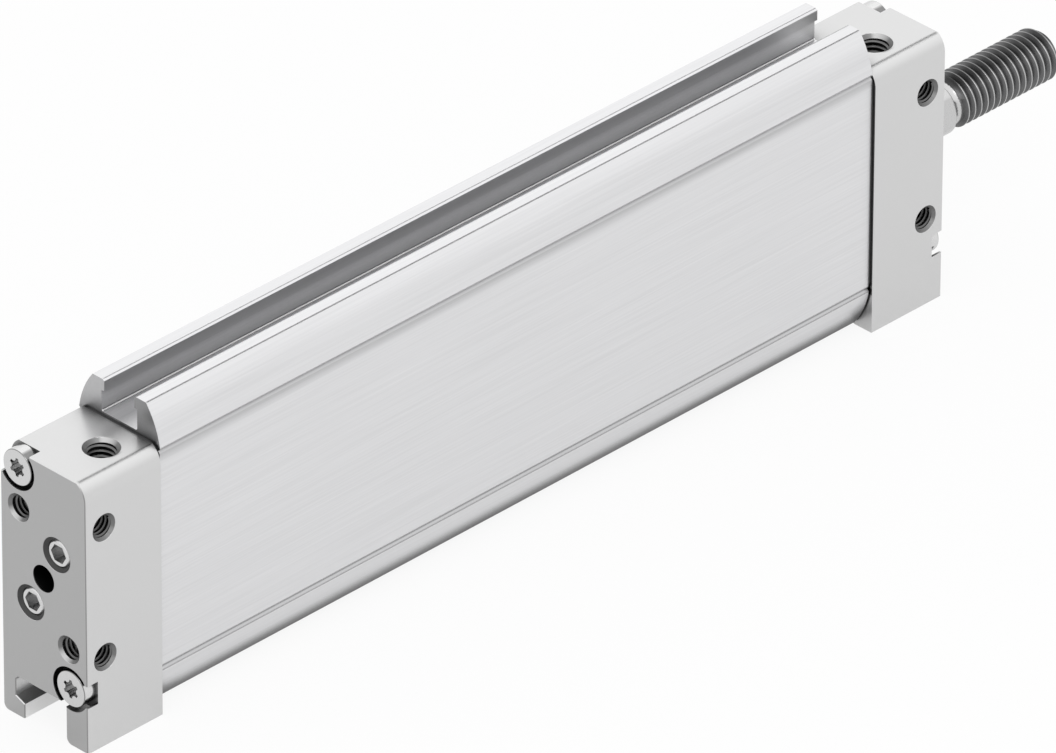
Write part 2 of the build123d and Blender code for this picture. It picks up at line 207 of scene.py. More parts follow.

# %% [markdown]
# ## Painted crease shade
#
# Where two long faces meet at an angle, the photograph shows a thin dark line, and here it is
# painted into the colour as shade. The Bevel node gives the normal that a rounded edge would have.
# Where it differs from the real normal there is an edge, and where it has no X part, the edge runs
# along the cylinder.

# %% Build the crease group
crease_shade, group_in, group_out = new_group(
    "crease_shade", [("Width", FLOAT, 0.0002)], [("Crease", FLOAT, 0.0)]
)
# The line this finds is painted shade along the edges.
rounded = add_node(crease_shade, "ShaderNodeBevel", samples=6)
surface = add_node(crease_shade, "ShaderNodeNewGeometry")
agree = add_node(crease_shade, "ShaderNodeVectorMath", operation="DOT_PRODUCT")
differ = add_node(
    crease_shade, "ShaderNodeMapRange", {"From Min": 0.9985, "From Max": 0.985}, interpolation_type="SMOOTHSTEP"
)
heading = add_node(crease_shade, "ShaderNodeSeparateXYZ")
size = add_node(crease_shade, "ShaderNodeMath", operation="ABSOLUTE")
lengthwise = add_node(crease_shade, "ShaderNodeMath", {1: 0.1}, operation="LESS_THAN")
both = add_node(crease_shade, "ShaderNodeMath", operation="MULTIPLY")
crease_shade.links.new(group_in.outputs["Width"], rounded.inputs["Radius"])
crease_shade.links.new(rounded.outputs["Normal"], agree.inputs[0])
crease_shade.links.new(surface.outputs["Normal"], agree.inputs[1])
crease_shade.links.new(agree.outputs["Value"], differ.inputs["Value"])
crease_shade.links.new(rounded.outputs["Normal"], heading.inputs[0])
crease_shade.links.new(heading.outputs["X"], size.inputs[0])
crease_shade.links.new(size.outputs[0], lengthwise.inputs[0])
crease_shade.links.new(differ.outputs["Result"], both.inputs[0])
crease_shade.links.new(lengthwise.outputs[0], both.inputs[1])
crease_shade.links.new(both.outputs[0], group_out.inputs["Crease"])
print("group", crease_shade.name, "is ready")

# %% [markdown]
# ## Special places
#
# Each metal part has places where light and shade are painted into its colour. Their groups put
# out two values. The first is how open a place is at least, whatever the ambient occlusion says,
# which takes the painted corner shade off there. Shade is painted shade: what the colour is
# multiplied by. Both come from the place and the normal in Object coordinates. These helpers do
# the small sums.

# %% Helpers for sums of nodes
def maths(tree, operation, *values):
    """Add a Math node. A value is a number or a socket. Hand back the output socket."""
    node = add_node(tree, "ShaderNodeMath", operation=operation)
    for index, value in enumerate(values):
        if isinstance(value, (int, float)):
            node.inputs[index].default_value = value
        else:
            tree.links.new(value, node.inputs[index])
    return node.outputs[0]


def ramp(tree, value, low, high, start=0.0, stop=1.0):
    """Map a value between low and high to start and stop."""
    node = add_node(tree, "ShaderNodeMapRange", {1: low, 2: high, 3: start, 4: stop})
    tree.links.new(value, node.inputs[0])
    return node.outputs[0]


def along(tree, vector, direction):
    """Measure how far a vector points along a direction."""
    node = add_node(tree, "ShaderNodeVectorMath", {1: direction}, operation="DOT_PRODUCT")
    tree.links.new(vector, node.inputs[0])
    return node.outputs["Value"]


def product(tree, *values):
    """Multiply several values."""
    total = values[0]
    for value in values[1:]:
        total = maths(tree, "MULTIPLY", total, value)
    return total


# %% [markdown]
# ## Places on the caps
#
# The painted corner shade is taken off the wide faces and the end faces of the caps, so they stay
# even in colour right down to the floor. They lie on the object's outer box. Below the roof of the
# foot, the far leg is painted a little lighter than open metal, the near leg keeps about half its
# painted shade, and walls that face the near side get a painted highlight. The near upper crease is
# a painted dark line, an edge break that faces the near corner gets a painted reflection of the
# dark floor, and faces that look along the cylinder get painted shade, so they are duller.

# %% Build the group for the caps
CAP_MIDDLE = (cad_box[0].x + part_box("front_cap")[1].x) / 2
CAP_HALF = CAP_MIDDLE - cad_box[0].x
CAP_CREASE = 0.65 * MM
ROOF_HEIGHT = -17.9 * MM
UPPER_HEIGHT = 16 * MM
JUST_INSIDE = 0.998  # share of the way out to the outer box
tree, group_in, group_out = new_group(
    "cap_places", [("Roof", FLOAT, ROOF_HEIGHT)], [("Least_open", FLOAT, 0.0), ("Shade", FLOAT, 1.0)]
)
place = add_node(tree, "ShaderNodeTexCoord")
spot = place.outputs["Object"]
normal = place.outputs["Normal"]
across_x = along(tree, normal, (1, 0, 0))
across_y = along(tree, normal, (0, 1, 0))
spot_y = along(tree, spot, (0, 1, 0))
height = along(tree, spot, (0, 0, 1))
from_middle = maths(tree, "ABSOLUTE", maths(tree, "SUBTRACT", along(tree, spot, (1, 0, 0)), CAP_MIDDLE))
on_end = maths(tree, "GREATER_THAN", from_middle, JUST_INSIDE * CAP_HALF)
on_side = maths(tree, "GREATER_THAN", maths(tree, "ABSOLUTE", spot_y), JUST_INSIDE * cad_box[1].y)
below_roof = maths(tree, "LESS_THAN", height, group_in.outputs["Roof"])
# Painted light and shade in the foot's channel: the far leg lighter than open metal, the near leg about half
# shaded, and a painted highlight on walls that face the near side.
far_leg = maths(tree, "GREATER_THAN", spot_y, 0)
dim = maths(tree, "MULTIPLY_ADD", far_leg, 0.75, 0.45)
bright = ramp(tree, along(tree, normal, (-1, -1, 0)), 0.7, 0.8, 0, 1.4)
channel = maths(tree, "MULTIPLY", below_roof, maths(tree, "MAXIMUM", bright, dim))
outside = maths(tree, "MAXIMUM", on_end, on_side)
least_open = maths(tree, "MULTIPLY_ADD", channel, maths(tree, "SUBTRACT", 1, outside), outside)
tree.links.new(least_open, group_out.inputs["Least_open"])
crease = use_group(tree, crease_shade, {"Width": CAP_CREASE})
# Painted shade: a dark line along the near upper crease.
line = product(
    tree,
    crease.outputs["Crease"],
    maths(tree, "GREATER_THAN", height, UPPER_HEIGHT),
    maths(tree, "LESS_THAN", spot_y, 0),
)
# Painted reflection of the dark floor on edge breaks that face the near corner, and painted shade on faces
# that look along the cylinder.
near_corner = ramp(tree, maths(tree, "MULTIPLY", across_x, across_y), 0.3, 0.47)
end_facing_shade = ramp(tree, maths(tree, "ABSOLUTE", across_x), 0.9, 0.98)
shade = product(
    tree,
    ramp(tree, line, 0, 1, 1, 0.3),
    ramp(tree, near_corner, 0, 1, 1, 0.45),
    ramp(tree, end_facing_shade, 0, 1, 1, 0.66),
)
tree.links.new(shade, group_out.inputs["Shade"])
cap_places = tree
print("group", cap_places.name, "is ready")

# %% [markdown]
# ## Places on the barrel
#
# Below the shoulder of the upper rail a soft painted shade darkens towards the shoulder, and no
# line is drawn there. The ledge under it, on the lower rail, is painted a little darker than the
# wide face. Both are kept free of the painted corner shade. In the upper slot the floor and the
# broken edges are kept free of it too, so they stay bright, and the wall keeps some of it, lighter
# downwards, below a lip with painted shade. The other near edges along the barrel are painted dark
# lines, and the ends get painted shade, the near half most of all.

# %% Build the group for the barrel
BARREL_CREASE = 0.32 * MM
SHOULDER_HEIGHT = 17.3 * MM
SHOULDER_SHADE_BOTTOM, SHOULDER_SHADE_DARKEST = 15 * MM, 17 * MM
LEDGE_TOP = -16.6 * MM
WIDE_FACE_FROM = 7.1 * MM  # from the axis, across the barrel
SLOT_HALF = 3.6 * MM
SLOT_FLOOR_FROM = 18 * MM
SLOT_WALL_TOP, SLOT_WALL_BOTTOM = 22.5 * MM, 18.6 * MM
LIP_BOTTOM = 21.5 * MM
CREASES_FROM = 3.08 * MM  # from the axis, outside the slot's broken edges
FAR_CORNER = 4 * MM
tree, group_in, group_out = new_group(
    "barrel_places", [("Shoulder", FLOAT, SHOULDER_HEIGHT)], [("Least_open", FLOAT, 0.0), ("Shade", FLOAT, 1.0)]
)
place = add_node(tree, "ShaderNodeTexCoord")
spot = place.outputs["Object"]
normal = place.outputs["Normal"]
shoulder = group_in.outputs["Shoulder"]
height = along(tree, spot, (0, 0, 1))
across = along(tree, spot, (0, 1, 0))
from_axis = maths(tree, "ABSOLUTE", across)
out_wide = maths(tree, "GREATER_THAN", from_axis, WIDE_FACE_FROM)
under = maths(tree, "LESS_THAN", height, shoulder)
under_shoulder = product(tree, out_wide, under, maths(tree, "GREATER_THAN", height, SHOULDER_SHADE_BOTTOM))
over_rail = maths(tree, "GREATER_THAN", height, maths(tree, "MULTIPLY", shoulder, -1))
ledge = product(tree, out_wide, over_rail, maths(tree, "LESS_THAN", height, LEDGE_TOP))
end_face = ramp(tree, maths(tree, "ABSOLUTE", along(tree, normal, (1, 0, 0))), 0.9, 0.98)
in_slot = product(
    tree,
    maths(tree, "LESS_THAN", from_axis, SLOT_HALF),
    maths(tree, "GREATER_THAN", height, SLOT_FLOOR_FROM),
)
facing_up = ramp(tree, along(tree, normal, (0, 0, 1)), 0.5, 0.65)
lip_wall = product(
    tree,
    in_slot,
    maths(tree, "SUBTRACT", 1, facing_up),
    maths(tree, "SUBTRACT", 1, end_face),
    maths(tree, "GREATER_THAN", height, LIP_BOTTOM),
)
# The slot wall keeps some painted corner shade, less towards the floor.
slot_wall = ramp(tree, height, SLOT_WALL_TOP, SLOT_WALL_BOTTOM, 0.2, 0.36)
slot = maths(tree, "MULTIPLY", in_slot, maths(tree, "MAXIMUM", facing_up, slot_wall))
open_places = maths(tree, "MAXIMUM", maths(tree, "ADD", under_shoulder, ledge), slot)
least_open = maths(tree, "MAXIMUM", open_places, maths(tree, "MULTIPLY", end_face, 0.5))
tree.links.new(least_open, group_out.inputs["Least_open"])
crease = use_group(tree, crease_shade, {"Width": BARREL_CREASE})
near = maths(tree, "LESS_THAN", across, 0)
line = product(
    tree,
    crease.outputs["Crease"],
    maths(tree, "SUBTRACT", 1, under_shoulder),
    maths(tree, "GREATER_THAN", from_axis, CREASES_FROM),
    maths(tree, "LESS_THAN", across, FAR_CORNER),
)
# Painted shade: under the shoulder, darker towards it; dark crease lines, darker higher up; the lip, the
# ledge and the ends.
fade = maths(tree, "MULTIPLY", under_shoulder, ramp(tree, height, SHOULDER_SHADE_BOTTOM, SHOULDER_SHADE_DARKEST))
depth = ramp(tree, height, -SHOULDER_SHADE_BOTTOM, SHOULDER_SHADE_BOTTOM, 0.45, 0.85)
shade = product(
    tree,
    maths(tree, "SUBTRACT", 1, maths(tree, "MULTIPLY", line, depth)),
    ramp(tree, fade, 0, 1, 1, 0.58),
    ramp(tree, lip_wall, 0, 1, 1, 0.68),
    ramp(tree, ledge, 0, 1, 1, 0.68),
    ramp(tree, end_face, 0, 1, 1, 0.66),
    ramp(tree, maths(tree, "MULTIPLY", end_face, near), 0, 1, 1, 0.72),
)
tree.links.new(shade, group_out.inputs["Shade"])
barrel_places = tree
print("group", barrel_places.name, "is ready")

# %% [markdown]
# ## Places on the screws
#
# The rounded rim of a screw head gets a thin ring of painted shade between its bright face and its
# bright side, and the side gets one painted dark streak, a painted reflection. Faces that look along
# the screw are painted a little darker.

# %% Build the group for the screws
tree, group_in, group_out = new_group(
    "screw_places", [("Rim", FLOAT, 0.35)], [("Least_open", FLOAT, 0.0), ("Shade", FLOAT, 1.0)]
)
normal = add_node(tree, "ShaderNodeTexCoord").outputs["Normal"]
endwise = maths(tree, "ABSOLUTE", along(tree, normal, (1, 0, 0)))
# Painted shade on the rounded rim, and a painted reflection as a dark streak on the side.
rim = maths(tree, "MULTIPLY", ramp(tree, endwise, 0.1, 0.3), ramp(tree, endwise, 0.97, 0.85))
streak = ramp(tree, along(tree, normal, (0, -0.55, 0.835)), 0.95, 0.99)
dark_rim = add_node(tree, "ShaderNodeMapRange", {"To Min": 1.0})
tree.links.new(rim, dark_rim.inputs["Value"])
tree.links.new(group_in.outputs["Rim"], dark_rim.inputs["To Max"])
shade = product(
    tree,
    dark_rim.outputs["Result"],
    ramp(tree, streak, 0, 1, 1, 0.35),
    ramp(tree, endwise, 0.9, 0.98, 1, 0.92),
)
tree.links.new(shade, group_out.inputs["Shade"])
screw_places = tree
print("group", screw_places.name, "is ready")

# %% [markdown]
# ## Metals
#
# The barrel, the caps, the screws and the rod are bare or anodised metal. They differ in colour,
# in how rough they are and in which way their fine lines run, so one recipe with those values
# makes them all. The lines change the colour a little, the roughness a little more, and raise a
# very shallow bump.

# %% A recipe for metals
def metal(
    name, colour, roughness, grain, contrast=0.05, bump=0.02, reach=2.0, corner=(0.42, 0.95, 0.2), places=None
):
    """Mix a metal.

    grain stretches its streaks, and contrast is how far they change the colour. corner holds the
    openness that counts as closed and as open, and the painted shade of a closed corner. places
    is the group of the part's special places, with their painted light and shade.
    """
    material, tree, shader = new_material(name)
    shader.inputs["Metallic"].default_value = 1.0
    streak = use_group(tree, streaks, {"Along": grain})
    values = dict(zip(("Closed", "Open", "Darkest"), corner), Reach=reach * MM)
    openness = use_group(tree, corners, values).outputs["Openness"]
    lightness = add_node(tree, "ShaderNodeMath", {1: contrast, 2: 1.0}, operation="MULTIPLY_ADD")
    tree.links.new(streak.outputs["Streak"], lightness.inputs[0])
    shade = lightness.outputs[0]
    if places:
        special = use_group(tree, places)
        openness = maths(tree, "MAXIMUM", openness, special.outputs["Least_open"])
        shade = maths(tree, "MULTIPLY", shade, special.outputs["Shade"])
    paint = add_node(tree, "ShaderNodeVectorMath", {0: colour}, operation="SCALE")
    rough = add_node(tree, "ShaderNodeMath", {1: contrast, 2: roughness}, operation="MULTIPLY_ADD")
    relief = add_node(tree, "ShaderNodeBump", {"Strength": bump, "Distance": 0.02 * MM})
    # The colour carries painted shade: the corner openness times the places' shade.
    tree.links.new(maths(tree, "MULTIPLY", shade, openness), paint.inputs["Scale"])
    tree.links.new(paint.outputs[0], shader.inputs["Base Color"])
    tree.links.new(streak.outputs["Streak"], rough.inputs[0])
    tree.links.new(rough.outputs[0], shader.inputs["Roughness"])
    tree.links.new(streak.outputs["Streak"], relief.inputs["Height"])
    tree.links.new(relief.outputs["Normal"], shader.inputs["Normal"])
    return material


# %% Mix the metals
barrel_aluminium = metal(
    "barrel_aluminium", (0.74, 0.74, 0.75), 0.34, (45, 3600, 3600), contrast=0.2,
    reach=5, corner=(0.35, 0.92, 0.12), places=barrel_places
)
cap_aluminium = metal(
    "cap_aluminium", (0.66, 0.66, 0.66), 0.30, (2500, 2500, 2500), contrast=0.03,
    reach=6, corner=(0.42, 0.95, 0.15), places=cap_places
)
# Dark aluminium for the threads in the holes: painted shade of the hole.
hole_shade_aluminium = metal(
    "hole_shade_aluminium", (0.15, 0.15, 0.15), 0.34, (2500, 2500, 2500), reach=3, corner=(0.1, 0.5, 0.3)
)
screw_steel = metal(
    "screw_steel", (0.70, 0.70, 0.70), 0.18, (2000, 2000, 2000), corner=(0.2, 0.8, 0.6), places=screw_places
)
plug_steel = metal("plug_steel", (0.66, 0.66, 0.66), 0.25, (2000, 2000, 2000), corner=(0.2, 0.8, 0.9))
rod_steel = metal(
    "rod_steel", (0.58, 0.58, 0.58), 0.28, (5200, 300, 300), contrast=0.08, corner=(0.2, 0.8, 0.6)
)
piston_aluminium = metal(
    "piston_aluminium", (0.66, 0.67, 0.68), 0.32, (4000, 600, 600), contrast=0.08
)
bush_bronze = metal("bush_bronze", (0.50, 0.34, 0.15), 0.42, (3000, 3000, 3000), contrast=0.12)
print("eight metals are ready")

# %% [markdown]
# ## Rubber and plastic
#
# Gaskets, lip seals and buffers are moulded rubber, and the guide band and the magnet are plastics.
# None of them is metal, so their recipe has a plain colour that a fine noise mottles, and a
# matt surface with a faint moulded grain.


# %% A recipe for rubber and plastic
def moulded(name, colour, roughness, grain=1800, mottle=0.25, bump=0.12):
    """Mix a rubber or plastic. grain is how many specks there are to the metre."""
    material, tree, shader = new_material(name)
    shader.inputs["Specular IOR Level"].default_value = 0.4
    streak = use_group(tree, streaks, {"Along": (grain, grain, grain)})
    lightness = add_node(tree, "ShaderNodeMath", {1: mottle, 2: 1.0}, operation="MULTIPLY_ADD")
    paint = add_node(tree, "ShaderNodeVectorMath", {0: colour}, operation="SCALE")
    rough = add_node(tree, "ShaderNodeMath", {1: mottle, 2: roughness}, operation="MULTIPLY_ADD")
    relief = add_node(tree, "ShaderNodeBump", {"Strength": bump, "Distance": 0.05 * MM})
    tree.links.new(streak.outputs["Streak"], lightness.inputs[0])
    tree.links.new(lightness.outputs[0], paint.inputs["Scale"])
    tree.links.new(paint.outputs[0], shader.inputs["Base Color"])
    tree.links.new(streak.outputs["Streak"], rough.inputs[0])
    tree.links.new(rough.outputs[0], shader.inputs["Roughness"])
    tree.links.new(streak.outputs["Streak"], relief.inputs["Height"])
    tree.links.new(relief.outputs["Normal"], shader.inputs["Normal"])
    return material


# %% Mix the rubbers and plastics
gasket_rubber = moulded("gasket_rubber", (0.04, 0.04, 0.041), 0.6)
seal_rubber = moulded("seal_rubber", (0.035, 0.045, 0.07), 0.42)
bumper_rubber = moulded("bumper_rubber", (0.06, 0.06, 0.062), 0.55)
magnet_ferrite = moulded("magnet_ferrite", (0.03, 0.03, 0.032), 0.5)
guide_plastic = moulded("guide_plastic", (0.62, 0.56, 0.42), 0.45)
# A dark ring for the chamfers of the plugged ports: painted shade in the chamfer.
thread_sealant = moulded("thread_sealant", (0.035, 0.035, 0.035), 0.6, bump=0.02)
print("six moulded materials are ready")

# %% [markdown]
# ## Give each CAD part its finish
#
# The record names a material slot for each part. A table from slot to material finishes all the
# CAD parts at once. The grub screws that plug the ports have a steel of their own.

# %% Finish the CAD parts
FINISHES = {
    "barrel_aluminium": barrel_aluminium,
    "cap_aluminium": cap_aluminium,
    "screw_steel": screw_steel,
    "rod_steel": rod_steel,
    "gasket_rubber": gasket_rubber,
    "seal_rubber": seal_rubber,
    "bumper_rubber": bumper_rubber,
    "bush_bronze": bush_bronze,
    "piston_aluminium": piston_aluminium,
    "magnet_ferrite": magnet_ferrite,
    "guide_plastic": guide_plastic,
}
for part in frame["record"]["subparts"]:
    node = nodes[part["node"]]
    if not node.material_slots:
        node.data.materials.append(None)
    for slot in node.material_slots:
        slot.material = plug_steel if "plug" in part["node"] else FINISHES[part["material_slot"]]


# %% [markdown]
# ## From bmesh to a finished piece
#
# New pieces are shaped with bmesh operators in millimetres. This helper closes their seams, turns
# their faces outwards, brings them to metres, hangs them on the body they ride on, paints them from
# their slot unless a finish is given, and hides the CAD parts they stand for.

# %% A helper that finishes a piece
def finish_piece(bm, name, body, slot, finish=None, replaced=(), sharp_angle=35):
    """Turn a bmesh in millimetres into a piece that rides on a body."""
    bmesh.ops.remove_doubles(bm, verts=bm.verts, dist=1e-4)
    bmesh.ops.recalc_face_normals(bm, faces=bm.faces)
    bmesh.ops.scale(bm, vec=(MM, MM, MM), verts=bm.verts)
    mesh = bpy.data.meshes.new(name)
    bm.to_mesh(mesh)
    bm.free()
    mesh.shade_smooth()
    mesh.set_sharp_from_angle(angle=math.radians(sharp_angle))
    piece = bpy.data.objects.new(name, mesh)
    bpy.context.scene.collection.objects.link(piece)
    piece.data.materials.append(finish or FINISHES[slot])
    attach(piece, body)
    if replaced:
        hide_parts(*replaced)
    print(name, "has", len(mesh.polygons), "faces")
    return piece


def chain(bm, points):
    """Draw a chain of edges through points, and hand back its vertices and edges."""
    verts = [bm.verts.new(point) for point in points]
    return verts + [bm.edges.new(pair) for pair in zip(verts, verts[1:])]


# %% [markdown]
# ## The rod's thread
#
# The rod ends in a long M8 thread. A thread is one tooth profile that turns round the axis and
# moves on by one pitch per turn, which is what spin does when it is given a step along the axis.
# The chain below is one pitch of the profile, so each turn meets the last and the two weld into
# one skin. The ends are then cut square, and the crests pressed down to the chamfer cones.

# %% Sizes of the rod, as in the CAD model
ROD_RADIUS = 4.0
ROD_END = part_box("piston_rod")[1].x / MM
THREAD_LENGTH = 19.3
THREAD_START = ROD_END - THREAD_LENGTH
THREAD_PITCH = 1.25
THREAD_ROOT = 3.3
THREAD_STEPS = 64  # round each turn
END_CHAMFER = 0.8
NECK_RADIUS = 3.25
FLAT_START, FLAT_END = 1.0, 6.8  # from the front face
FRONT_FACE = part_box("front_cap")[1].x / MM
CREST_HALF = 0.085
ROOT_HALF = 0.13
print("the rod ends at", round(ROD_END, 2), "and its thread starts at", round(THREAD_START, 2))


# %% Spin the thread
def thread_limit(x):
    """Largest radius at x: the thread runs out in a cone at its start and its end."""
    run_in = NECK_RADIUS + max(0, x - THREAD_START)
    run_out = ROD_RADIUS - END_CHAMFER + max(0, ROD_END - x)
    return min(ROD_RADIUS, run_in, run_out)


half_pitch = THREAD_PITCH / 2
tooth = [
    (0, THREAD_ROOT),
    (ROOT_HALF, THREAD_ROOT + 0.02),
    (half_pitch - CREST_HALF - 0.02, ROD_RADIUS - 0.035),
    (half_pitch - CREST_HALF + 0.02, ROD_RADIUS),
]
tooth += [(THREAD_PITCH - x, r) for x, r in reversed(tooth)]
turns = math.ceil((ROD_END - THREAD_START) / THREAD_PITCH) + 2
bm = bmesh.new()
first_x = THREAD_START - THREAD_PITCH
profile = chain(bm, [(first_x + x, 0, r) for x, r in tooth])
bmesh.ops.spin(
    bm,
    geom=profile,
    cent=(0, 0, 0),
    axis=(1, 0, 0),
    dvec=(THREAD_PITCH / THREAD_STEPS, 0, 0),
    angle=2 * math.pi * turns,
    steps=THREAD_STEPS * turns,
)
bmesh.ops.remove_doubles(bm, verts=bm.verts, dist=1e-4)
for cut, way in ((THREAD_START, -1), (ROD_END, 1)):
    everything = bm.verts[:] + bm.edges[:] + bm.faces[:]
    bmesh.ops.bisect_plane(
        bm, geom=everything, dist=1e-6, plane_co=(cut, 0, 0), plane_no=(way, 0, 0), clear_outer=True
    )
for vert in bm.verts:
    radius = math.hypot(vert.co.y, vert.co.z)
    press = min(1, thread_limit(vert.co.x) / radius)
    vert.co.yz = vert.co.yz * press
open_edges = [edge for edge in bm.edges if edge.is_boundary]
bmesh.ops.holes_fill(bm, edges=open_edges, sides=0)
thread_mesh = bm
print("the thread has", len(bm.faces), "faces and", sum(e.is_boundary for e in bm.edges), "open edges")

# %% [markdown]
# ## Steel of the thread
#
# In the photograph the flanks of the thread look nearly black and only the crests shine. Here the
# flanks are painted nearly black, as shade in the grooves, and the crests keep a light colour. The
# distance from the rod's axis tells crest from flank, so the colour is mixed by it. The thread's
# upper side gets a painted dark band, a painted reflection.

# %% Mix the thread's steel
thread_steel, tree, shader = new_material("thread_steel")
shader.inputs["Metallic"].default_value = 1.0
place = add_node(tree, "ShaderNodeTexCoord")
flatten = add_node(tree, "ShaderNodeVectorMath", {1: (0, 1, 1)}, operation="MULTIPLY")
reach = add_node(tree, "ShaderNodeVectorMath", operation="LENGTH")
crest = add_node(tree, "ShaderNodeMapRange", {"From Min": 3.95 * MM, "From Max": 3.985 * MM})
# Nearly black flanks and lighter crests: painted shade in the thread's grooves.
steel = add_node(tree, "ShaderNodeMix", {6: (0.16, 0.16, 0.162, 1), 7: (0.5, 0.5, 0.5, 1)}, data_type="RGBA")
rough = add_node(tree, "ShaderNodeMix", {2: 0.42, 3: 0.34})
outwards = add_node(tree, "ShaderNodeVectorMath", operation="NORMALIZE")
banded = add_node(tree, "ShaderNodeVectorMath", operation="SCALE")
tree.links.new(flatten.outputs[0], outwards.inputs[0])
# A painted dark band on the thread's upper side: a painted reflection.
band = ramp(tree, along(tree, outwards.outputs[0], (0, -0.22, 0.975)), 0.8, 0.98, 1, 0.4)
tree.links.new(steel.outputs[2], banded.inputs[0])
tree.links.new(band, banded.inputs["Scale"])
tree.links.new(place.outputs["Object"], flatten.inputs[0])
tree.links.new(flatten.outputs[0], reach.inputs[0])
tree.links.new(reach.outputs["Value"], crest.inputs["Value"])
tree.links.new(crest.outputs["Result"], steel.inputs[0])
tree.links.new(crest.outputs["Result"], rough.inputs[0])
tree.links.new(banded.outputs[0], shader.inputs["Base Color"])
tree.links.new(rough.outputs[0], shader.inputs["Roughness"])
rod_thread = finish_piece(thread_mesh, "rod_thread", "rod", "rod_steel", thread_steel, sharp_angle=50)

# %% [markdown]
# ## The smooth part of the rod
#
# The rest of the rod is right in the CAD model: the polished shank, the two wrench flats, the
# neck and the stub inside the piston. So a copy of the CAD mesh is welded, cut off where the
# thread starts, and closed again. The two new pieces together stand for the CAD rod.
#
# The shank's triangles run its whole length, so a normal that leans at one end would shade all of
# it. An extra loop of edges close to each end keeps the normals between them square to the axis.

# %% Cut the shank from a copy of the CAD rod
bm = bmesh.new()
bm.from_mesh(nodes["piston_rod"].data)
bmesh.ops.scale(bm, vec=(1 / MM, 1 / MM, 1 / MM), verts=bm.verts)
bmesh.ops.remove_doubles(bm, verts=bm.verts, dist=1e-4)
everything = bm.verts[:] + bm.edges[:] + bm.faces[:]
shank_end = THREAD_START + 0.05
bmesh.ops.bisect_plane(
    bm, geom=everything, dist=1e-6, plane_co=(shank_end, 0, 0), plane_no=(1, 0, 0), clear_outer=True
)
bmesh.ops.holes_fill(bm, edges=[edge for edge in bm.edges if edge.is_boundary], sides=0)
LOOP_INSET = 0.05
shoulder_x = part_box("piston_front_half")[1].x / MM
flats_x = FRONT_FACE + FLAT_START
neck_x = FRONT_FACE + FLAT_END
for loop_x in (shoulder_x + LOOP_INSET, flats_x - LOOP_INSET, flats_x + LOOP_INSET, neck_x - LOOP_INSET):
    everything = bm.verts[:] + bm.edges[:] + bm.faces[:]
    bmesh.ops.bisect_plane(bm, geom=everything, dist=1e-6, plane_co=(loop_x, 0, 0), plane_no=(1, 0, 0))
rod_shank = finish_piece(bm, "rod_shank", "rod", "rod_steel", replaced=["piston_rod"], sharp_angle=20)

# %% [markdown]
# ## Threads in the holes
#
# The CAD holes are plain. Each real one has a cut thread, whose crests catch the light inside the
# dark hole; their aluminium is painted dark, as the shade of the hole. A crest is a small bar that
# winds down the wall: a face spun with a step along the axis, just as the rod's thread. It is made
# along Z first and then turned to face out of its hole.
#
# The chamfer at the mouth gets a painted reflection of the room in its colour: a painted glint
# where it faces up and to the rear, and painted shade elsewhere. A thin ring that lies on it
# carries this. The ports that are plugged have a dark ring instead, painted shade in their chamfer.

# %% Mix the chamfers' finish
chamfer_aluminium, tree, shader = new_material("chamfer_aluminium")
shader.inputs["Metallic"].default_value = 1.0
shader.inputs["Roughness"].default_value = 0.5
place = add_node(tree, "ShaderNodeTexCoord")
# Painted glint where the chamfer faces up and to the rear, painted shade elsewhere.
painted_glint = ramp(tree, along(tree, place.outputs["Normal"], (-0.8, -0.3, 0.52)), 0.86, 0.99)
paint = add_node(tree, "ShaderNodeMix", {6: (0.2, 0.2, 0.2, 1), 7: (0.52, 0.52, 0.52, 1)}, data_type="RGBA")
tree.links.new(painted_glint, paint.inputs[0])
tree.links.new(paint.outputs[2], shader.inputs["Base Color"])

# %% Helpers that line a mouth and wind a thread in a hole
THREAD_HOLE_STEPS = 32
RING_STEPS = 64
RING_LIFT = 0.05  # towards the hole's axis, so that no facet of the chamfer shows through


def set_in_hole(bm, mouth, facing):
    """Turn a shape made along Z so that it faces out of a hole's mouth."""
    turn = Vector((0, 0, 1)).rotation_difference(Vector(facing)).to_matrix()
    bmesh.ops.rotate(bm, cent=(0, 0, 0), matrix=turn, verts=bm.verts)
    bmesh.ops.translate(bm, vec=mouth, verts=bm.verts)


def line_mouth(name, mouth, facing, radius, lead, finish):
    """Lay a thin ring on the chamfer at a hole's mouth."""
    bm = bmesh.new()
    inner = (radius - RING_LIFT, 0, -lead)
    outer_rim = (radius + lead - RING_LIFT, 0, 0)
    behind = (radius + lead / 2 + RING_LIFT, 0, -lead / 2 - RING_LIFT)
    face = bm.faces.new([bm.verts.new(point) for point in (inner, outer_rim, behind)])
    bmesh.ops.spin(
        bm, geom=[face], cent=(0, 0, 0), axis=(0, 0, 1), angle=2 * math.pi, steps=RING_STEPS, use_merge=True
    )
    bmesh.ops.delete(bm, geom=[face for face in bm.faces if len(face.verts) == 3], context="FACES_ONLY")
    set_in_hole(bm, mouth, facing)
    return finish_piece(bm, name, "housing", "cap_aluminium", finish, sharp_angle=30)


def wind_thread(name, mouth, facing, radius, pitch, depth, start):
    """Wind a thread crest down the wall of a hole. mouth is the centre of its rim."""
    bm = bmesh.new()
    crest_height = 0.24 * pitch / 0.8
    rise = [(0, -0.27), (0, 0.27), (1, 0.04), (1, -0.04)]
    corners = [bm.verts.new((radius + 0.03 - s * (crest_height + 0.03), 0, h * pitch)) for s, h in rise]
    face = bm.faces.new(corners)
    turns = (depth - start) / pitch - 0.7
    steps = round(THREAD_HOLE_STEPS * turns)
    bmesh.ops.spin(
        bm,
        geom=[face],
        cent=(0, 0, 0),
        axis=(0, 0, 1),
        dvec=(0, 0, pitch / THREAD_HOLE_STEPS),
        angle=2 * math.pi * steps / THREAD_HOLE_STEPS,
        steps=steps,
    )
    bmesh.ops.translate(bm, vec=(0, 0, -(depth - 0.35 * pitch)), verts=bm.verts)
    set_in_hole(bm, mouth, facing)
    return finish_piece(bm, name, "housing", "cap_aluminium", hole_shade_aluminium, sharp_angle=25)


